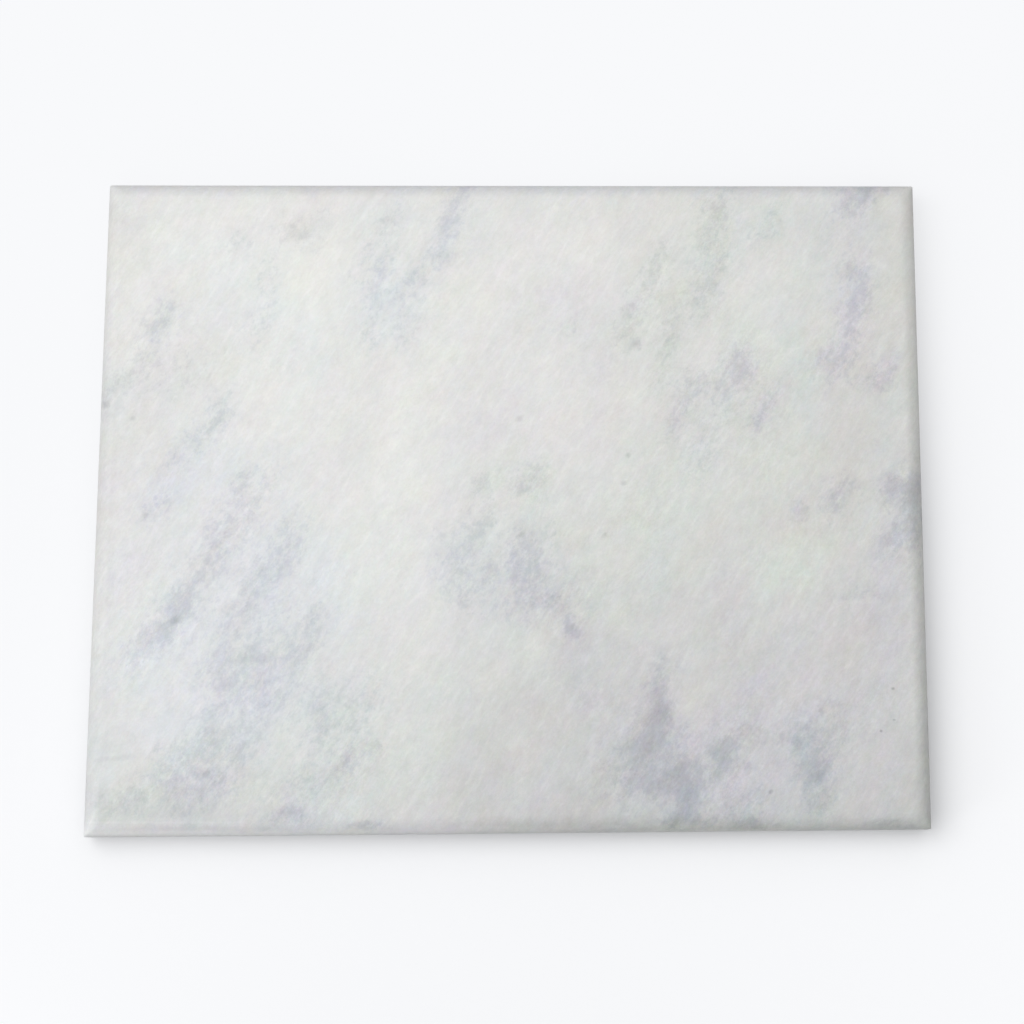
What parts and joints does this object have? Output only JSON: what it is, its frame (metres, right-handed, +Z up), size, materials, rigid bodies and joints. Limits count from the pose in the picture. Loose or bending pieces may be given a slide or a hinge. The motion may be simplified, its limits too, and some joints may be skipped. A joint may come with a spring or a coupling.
{
  "type": "marble chopping board",
  "caption": "Rectangular polished white marble chopping board with rounded-over top edges, raised on small stick-on rubber feet.",
  "frame": {"origin": "on the worktop plane that the feet stand on, under the middle of the board", "axes": "+X along the long sides to the right, +Y towards the back edge, +Z up"},
  "size_m": [0.381, 0.305, 0.02],
  "materials": {
    "marble": "polished white marble with soft grey and violet clouding",
    "rubber": "matt moulded rubber",
    "adhesive": "cloudy acrylic adhesive"
  },
  "bodies": {
    "root": {"marble_slab": "marble", "adhesive_front_left": "adhesive", "adhesive_front_right": "adhesive", "adhesive_back_left": "adhesive", "adhesive_back_right": "adhesive", "foot_front_left": "rubber", "foot_front_right": "rubber", "foot_back_left": "rubber", "foot_back_right": "rubber"}
  },
  "joints": []
}
